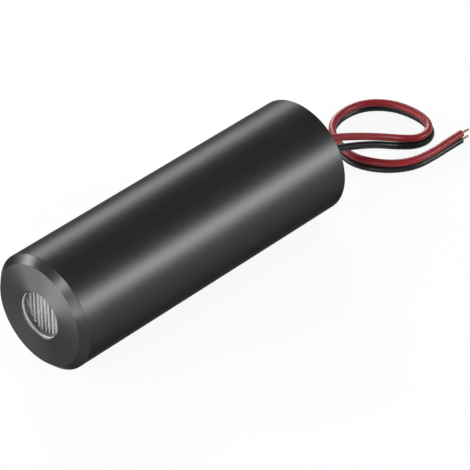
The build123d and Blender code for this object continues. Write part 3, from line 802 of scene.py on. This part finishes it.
angle = add_node(stranding, "ShaderNodeMath", {0: all_turns, 1: 2 * pi}, operation="MULTIPLY")
normal = add_node(stranding, "GeometryNodeInputNormal")
tangent = add_node(stranding, "GeometryNodeInputTangent")
spoke = add_node(stranding, "ShaderNodeVectorRotate", {
    "Vector": normal, "Axis": tangent, "Angle": angle,
}, rotation_type="AXIS_ANGLE")
# The last copy is the core strand and stays on the line.
outer = add_node(stranding, "ShaderNodeMath", {0: copy_number, 1: strands_round}, operation="LESS_THAN")
lay_radius = add_node(stranding, "ShaderNodeMath", {
    0: given["Strand Radius"], 1: 2.0,
}, operation="MULTIPLY")
reach = add_node(stranding, "ShaderNodeMath", {0: lay_radius, 1: outer}, operation="MULTIPLY")
push = add_node(stranding, "ShaderNodeVectorMath", {0: spoke, "Scale": reach}, operation="SCALE")
laid = add_node(stranding, "GeometryNodeSetPosition", {"Geometry": copies, "Offset": push})
ring = add_node(stranding, "GeometryNodeCurvePrimitiveCircle", {
    "Resolution": 8, "Radius": given["Strand Radius"],
})
drawn = add_node(stranding, "GeometryNodeCurveToMesh", {
    "Curve": laid, "Profile Curve": ring, "Fill Caps": True,
})
finish_tree(stranding, drawn, given["Material"])
print("stranding tree of", len(stranding.nodes), "nodes")

# %% [markdown]
# The strands are copper that went through a bath of molten tin. The tin wets the copper unevenly, so a
# dull grey goes over into a warmer grey from place to place. A plain grey metal would look like steel.

# %% Tin the strands and lay them
wetting_size = 0.4
tinned, tree, place = start_material("hot_tinned_copper")
colour, roughness = mottled(tree, place, wetting_size, "#8C897F", "#928672", 0.3, 0.5, detail=2.0)
end_material(tree, {"Base Color": colour, "Metallic": 1.0, "Roughness": roughness})

bare_end = 1.8 * mm
strand_radius = 0.08 * mm
solder_overlap = 0.4 * mm
solder_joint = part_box("lead_solder")[0].y + solder_overlap


def lay_strands(name, points):
    """One lead's conductor: strands along the route, carried on past both ends of the insulation."""
    start = Vector((points[0].x, solder_joint, points[0].z))
    end = points[-1] + (points[-1] - points[-2]).normalized() * bare_end
    guide = lay_spline(name + "_line", [start, *points[1:-1], end])
    piece = new_piece(name, bpy.data.meshes.new_from_object(guide))
    bpy.data.objects.remove(guide)
    run_tree(
        piece, stranding, strands_round=6, strand_radius=strand_radius, lay_length=6 * mm, material=tinned
    )
    face_outwards(piece)
    return piece


red_strands = lay_strands("red_strands", red_points)
black_strands = lay_strands("black_strands", black_points)
print("strands of", len(red_strands.data.polygons), "and", len(black_strands.data.polygons), "faces")

# %% [markdown]
# ## Extruded PVC
#
# The insulation is soft PVC, pressed hot through a ring. That gives the eye an even colour with a soft
# gloss, faintly clouded by the pigment, over a skin that is very slightly uneven. A plain colour would
# look like paint.

# %% Finish the insulation
pigment_size = 1.2
skin_size = 0.6


def soft_pvc(name, pale, deep):
    """Extruded PVC: a faintly clouded colour under a soft gloss."""
    material, tree, place = start_material(name)
    colour, roughness = mottled(tree, place, pigment_size, deep, pale, 0.34, 0.40)
    bump, _ = fine_relief(tree, place, skin_size, strength=0.04, depth=0.01)
    end_material(tree, {
        "Base Color": colour, "Roughness": roughness,
        "IOR": 1.53, "Specular IOR Level": 0.25, "Normal": bump,
    })
    return material


red_insulation.data.materials.append(soft_pvc("extruded_red_pvc", "#8C2228", "#7E1B20"))
black_insulation.data.materials.append(soft_pvc("extruded_black_pvc", "#161617", "#101011"))
print("mixed", [lead.data.materials[0].name for lead in (red_insulation, black_insulation)])

# %% [markdown]
# ## Pieces inside
#
# The rest of the object is inside the tube: the barrel with its collimator, the laser diode and the driver
# board. Only the front end of the barrel and its collimator can be seen, through the lens. The meshes of
# the engineering model do for these pieces, but each gets the finish of its real material for anyone who
# opens the model.

# %% Mix the finishes inside
gloss_spread = 0.12


def grained(name, pale, deep, grain, roughness, metallic=0.0, ior=1.5, transmission=0.0):
    """A finish with a grain of so many millimetres in its colour and gloss."""
    material, tree, place = start_material(name)
    colour, gloss = mottled(tree, place, grain, deep, pale, roughness, roughness + gloss_spread)
    end_material(tree, {
        "Base Color": colour, "Metallic": metallic, "Roughness": gloss,
        "IOR": ior, "Transmission Weight": transmission,
    })
    return material


inside = {
    # A pale silky grey, which is the ground that shows through the lens.
    grained("nickel_plated_turned_brass", "#E8E7E4", "#DBDAD7", 0.6, 0.6, metallic=1.0):
        ["optics_barrel", "collimator_cell", "collimator_ring"],
    # Clear and smooth, with hardly a tint.
    grained("moulded_lens_glass", "#F6F8F8", "#EDF1F1", 3.0, 0.0, ior=1.52, transmission=1.0):
        ["collimator_lens", "diode_window"],
    # A dead black without a highlight.
    grained("moulded_nitrile_rubber", "#242424", "#181818", 0.4, 0.7): ["lens_gasket"],
    # A cool grey with narrow highlights along the wire.
    grained("drawn_spring_steel", "#9A9B9D", "#7F8184", 0.5, 0.3, metallic=1.0): ["focus_spring"],
    # A warm bright yellow.
    grained("gold_plated_steel", "#E3C074", "#D3A955", 0.5, 0.2, metallic=1.0): ["diode_stem", "diode_pins"],
    # A warm grey, brighter than steel.
    grained("nickel_plated_steel", "#BDB9AF", "#A8A49A", 0.5, 0.25, metallic=1.0): ["diode_cap"],
    # A reddish metal with a soft shine.
    grained("stamped_bare_copper", "#C98A62", "#B5734C", 0.3, 0.3, metallic=1.0): ["diode_heat_sink"],
    # A dark, glossy grey green.
    grained("fused_seal_glass", "#3E4A48", "#2F3A38", 0.2, 0.15): ["pin_glass_seals"],
    # A dark mirror with a blue cast.
    grained("polished_semiconductor", "#5A5B66", "#474853", 0.1, 0.15, metallic=0.6):
        ["laser_chip", "monitor_photodiode"],
    # A half-gloss green lacquer.
    grained("screened_green_solder_mask", "#1F6B3C", "#185A31", 0.8, 0.35): ["driver_board"],
    # A matt charcoal.
    grained("moulded_black_epoxy", "#26272A", "#1C1D20", 0.2, 0.6): ["driver_chip", "polarity_diode"],
    # A glassy black.
    grained("fired_resistor_glaze", "#1F2023", "#15161A", 0.3, 0.4): ["chip_resistors"],
    # A chalky tan.
    grained("fired_capacitor_ceramic", "#B79A74", "#A58862", 0.3, 0.45): ["ceramic_capacitors"],
    # A matt egg yellow.
    grained("moulded_yellow_epoxy", "#D9A32C", "#C48F1E", 0.5, 0.5): ["tantalum_capacitor"],
    # A silvery grey, half bright.
    grained("reflowed_tin", "#C7C8C9", "#ADAFB1", 0.2, 0.35, metallic=1.0):
        ["driver_chip_legs", "component_terminals", "pin_solder", "lead_solder"],
    # A smooth amber.
    grained("cast_amber_film", "#C98F3B", "#B87F2E", 2.0, 0.3): ["board_sleeve"],
    # A dark brown with a wet look.
    grained("cast_dark_epoxy", "#3A3632", "#2E2B28", 0.8, 0.3): ["lead_anchor"],
}
for material, names in inside.items():
    for name in names:
        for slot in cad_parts[name].material_slots:
            slot.material = material
print("finished", sum(len(names) for names in inside.values()), "pieces inside")

# %% [markdown]
# ## Floor and background
#
# The object lies on a plain white floor that fills the picture. Lamps strong enough to burn the floor
# white would burn the object too. So to the camera, and in reflections and through glass, the floor is
# mostly its own white, and the rest of it is plain diffuse paper, which keeps the object's soft shadow. To
# the light that it throws back on the object it is a grey card, so that the undersides stay dark. A low
# rim all round is the backdrop for views from near the floor, and a dim white world fills the shadows.

# %% Lay the floor
floor_level = housing_low.z
floor_reach = 3.0
rim_height = 0.4
rim_steps = 64
rim = [(cos(2 * pi * i / rim_steps), sin(2 * pi * i / rim_steps)) for i in range(rim_steps)]
floor_mesh = bpy.data.meshes.new("floor")
floor_mesh.from_pydata(
    [(x * floor_reach, y * floor_reach, floor_level + lift) for lift in (0.0, rim_height) for x, y in rim],
    [],
    [range(rim_steps)] + [
        (i, i + rim_steps, (i + 1) % rim_steps + rim_steps, (i + 1) % rim_steps) for i in range(rim_steps)
    ],
)
floor = new_piece("floor", floor_mesh)
print("floor at", round(floor_level / mm, 2), "mm")

# %% [markdown]
# Light Path tells what kind of ray meets the floor. Its answers are numbers of 0 or 1, so a product with a
# share and a maximum are enough to say how much of the floor is its own white.

# %% Whiten the floor and the world
white_in_view = 0.9
white_in_mirrors = 0.6
world_strength = 0.32
# Matt paper: an even white that takes a soft grey shadow.
paper, tree, _ = start_material("white_paper")
ray = add_node(tree, "ShaderNodeLightPath").outputs
mirrored_ray = add_node(tree, "ShaderNodeMath", {
    0: ray["Is Glossy Ray"], 1: ray["Is Transmission Ray"],
}, operation="MAXIMUM")
in_mirrors = add_node(tree, "ShaderNodeMath", {0: mirrored_ray, 1: white_in_mirrors}, operation="MULTIPLY")
in_view = add_node(tree, "ShaderNodeMath", {0: ray["Is Camera Ray"], 1: white_in_view}, operation="MULTIPLY")
own_white = add_node(tree, "ShaderNodeMath", {0: in_view, 1: in_mirrors}, operation="MAXIMUM")
card = add_node(tree, "ShaderNodeMix", {
    "Factor": ray["Is Camera Ray"], "A": linear("#A8A8A8"), "B": linear("#FFFFFF"),
}, data_type="RGBA")
diffuse = add_node(tree, "ShaderNodeBsdfDiffuse", {"Color": card})
white = add_node(tree, "ShaderNodeEmission", {"Color": linear("#FFFFFF"), "Strength": 1.0})
mixed = add_node(tree, "ShaderNodeMixShader", {0: own_white, 1: diffuse, 2: white})
add_node(tree, "ShaderNodeOutputMaterial", {"Surface": mixed})
floor.data.materials.append(paper)

studio = bpy.data.worlds.new("studio")
studio.use_nodes = True
studio.node_tree.nodes.clear()
sky = add_node(studio.node_tree, "ShaderNodeBackground", {
    "Color": linear("#FFFFFF"), "Strength": world_strength,
})
add_node(studio.node_tree, "ShaderNodeOutputWorld", {"Surface": sky})
scene.world = studio
print("mixed", paper.name, "and a world of strength", world_strength)

# %% [markdown]
# ## Lamps
#
# The tube shows two soft bright bands along its length, one high on its left and one on its right, and the
# chamfer shows glints. Lamps could be pushed about until these sit right. But a band is the mirror image
# of a lamp, so four of the lamps stand where the camera's line goes after it is mirrored at a band or
# glint, which the functions below work out from its angle round the tube. The front lamp, for the front
# face, and the front left lamp, for the left of the chamfer, stand at given points. All stand about a
# metre away.

# %% Define the softboxes
def mirrored(surface_normal):
    """The way that the camera's line takes after it is mirrored at a surface with this normal."""
    straight_out = surface_normal.normalized()
    return 2 * straight_out.dot(towards_camera) * straight_out - towards_camera


def round_tube(degrees, forward=0.0):
    """A normal of the tube at this angle from the top, or of its front chamfer if it leans forward."""
    return Vector((sin(radians(degrees)), -forward, cos(radians(degrees))))


def strip_lamp(name, first, last, height, radiance):
    """A softbox stretched from one point to another, facing the object."""
    middle = (first + last) / 2
    lengthwise = (last - first).normalized()
    away = (middle - middle.dot(lengthwise) * lengthwise).normalized()
    lamp = bpy.data.lights.new(name, "AREA")
    lamp.shape = "RECTANGLE"
    lamp.size = (last - first).length
    lamp.size_y = height
    lamp.energy = radiance * lamp.size * lamp.size_y * pi
    piece = bpy.data.objects.new(name, lamp)
    piece.location = middle
    piece.rotation_euler = Matrix((lengthwise, away.cross(lengthwise), away)).transposed().to_euler()
    piece.visible_camera = False
    scene.collection.objects.link(piece)
    print(name, "of", round(lamp.size, 2), "by", height, "m at", [round(c, 2) for c in middle], "m")


def ends(middle, half):
    """The two ends of a lamp about its middle."""
    return middle - half, middle + half


print("a lamp for the tube's top would stand at", [round(c, 2) for c in mirrored(round_tube(0))])

# %% [markdown]
# The two band lamps lie along the tube, because a band as long as the tube needs a lamp that runs the same
# way. The glint lamps lie across it and are short. Radiance, not power, is given for each: it is what a
# mirror shows, whatever the lamp's size.

# %% Hang the softboxes
along_tube = Vector((0.0, 0.25, 0.0))
across_tube = Vector((0.1, 0.0, 0.0))
left_band = mirrored(round_tube(-11))
right_band = mirrored(round_tube(56.5))
top_glint = mirrored(round_tube(30, forward=1.0))
right_glint = mirrored(round_tube(60, forward=1.0))
front_ends = Vector((-0.58, -0.88, 0.10)), Vector((0.45, -0.92, 0.10))
front_left_ends = Vector((-0.87, -0.36, 0.20)), Vector((-0.72, -0.64, 0.20))
strip_lamp("left_lamp", *ends(left_band, along_tube), height=0.38, radiance=12.5)
strip_lamp("right_lamp", *ends(right_band, along_tube), height=0.28, radiance=14.5)
strip_lamp("top_lamp", *ends(top_glint, across_tube), height=0.2, radiance=15.5)
strip_lamp("front_lamp", *front_ends, height=0.22, radiance=18.5)
strip_lamp("front_right_lamp", *ends(right_glint, across_tube), height=0.16, radiance=10.0)
strip_lamp("front_left_lamp", *front_left_ends, height=0.4, radiance=12.5)

# %% [markdown]
# ## Handing over
#
# Each new piece rides on the object's one body and takes the place of a solid of the engineering model,
# which is hidden. Its row also names the slot that its finish belongs to.

# %% Hand the pieces to the frame
handed_over = (
    (housing, "housing", "anodised_black"),
    (line_lens, "line_lens", "clear_acrylic"),
    (rear_cap, "rear_cap", "cap_black"),
    (red_strands, "red_conductor", "tin"),
    (black_strands, "black_conductor", "tin"),
    (red_insulation, "red_lead", "red_insulation"),
    (black_insulation, "black_lead", "black_insulation"),
)
for piece, node, slot in handed_over:
    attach(piece, "root")
    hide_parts(node)

print("handed over", [piece.name for piece, _, _ in handed_over])
